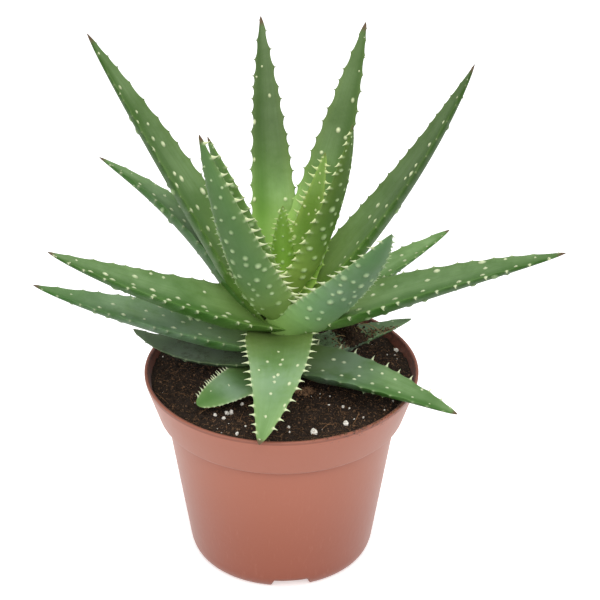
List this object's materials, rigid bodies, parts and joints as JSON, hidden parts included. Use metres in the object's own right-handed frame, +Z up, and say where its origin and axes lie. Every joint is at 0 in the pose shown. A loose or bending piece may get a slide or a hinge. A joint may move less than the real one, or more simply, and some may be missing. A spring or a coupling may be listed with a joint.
{
  "type": "potted aloe plant",
  "caption": "Rosette of toothed, white-spotted succulent leaves on a short stem, rooted in peat compost in a round plastic nursery pot with a collar rim.",
  "frame": {"origin": "middle of the whole plant's outline seen from above, on the surface that the pot stands on", "axes": "+Z up along the pot's axis, -Y towards the viewer of the picture, +X to the viewer's right"},
  "size_m": [0.2256, 0.1354, 0.2345],
  "materials": {
    "pot_plastic": "smooth semi-matte moulded plastic, terracotta coloured",
    "compost": "moist fibrous peat with white perlite grains",
    "stalk": "dull green-brown stem",
    "leaf": "waxy green skin with pale spots and cream teeth"
  },
  "bodies": {
    "root": {"pot": "pot_plastic", "soil": "compost", "stem": "stalk", "leaf_01_soil_left": "leaf", "leaf_02_soil_right": "leaf", "leaf_03_small_front_left": "leaf", "leaf_04_front_right": "leaf", "leaf_05_back_low": "leaf", "leaf_06_front": "leaf", "leaf_07_left_low": "leaf", "leaf_08_back_right_low": "leaf", "leaf_09_back": "leaf", "leaf_10_back_left_low": "leaf", "leaf_11_right": "leaf", "leaf_12_left": "leaf", "leaf_13_right_front": "leaf", "leaf_14_left_tall": "leaf", "leaf_15_right_tall": "leaf", "leaf_16_back_left_tall": "leaf", "leaf_17_back_right_tall": "leaf", "leaf_18_left_upright": "leaf", "leaf_19_front_left_upright": "leaf", "leaf_20_right_upright": "leaf", "leaf_21_inner_right": "leaf", "leaf_22_heart": "leaf"}
  },
  "joints": []
}
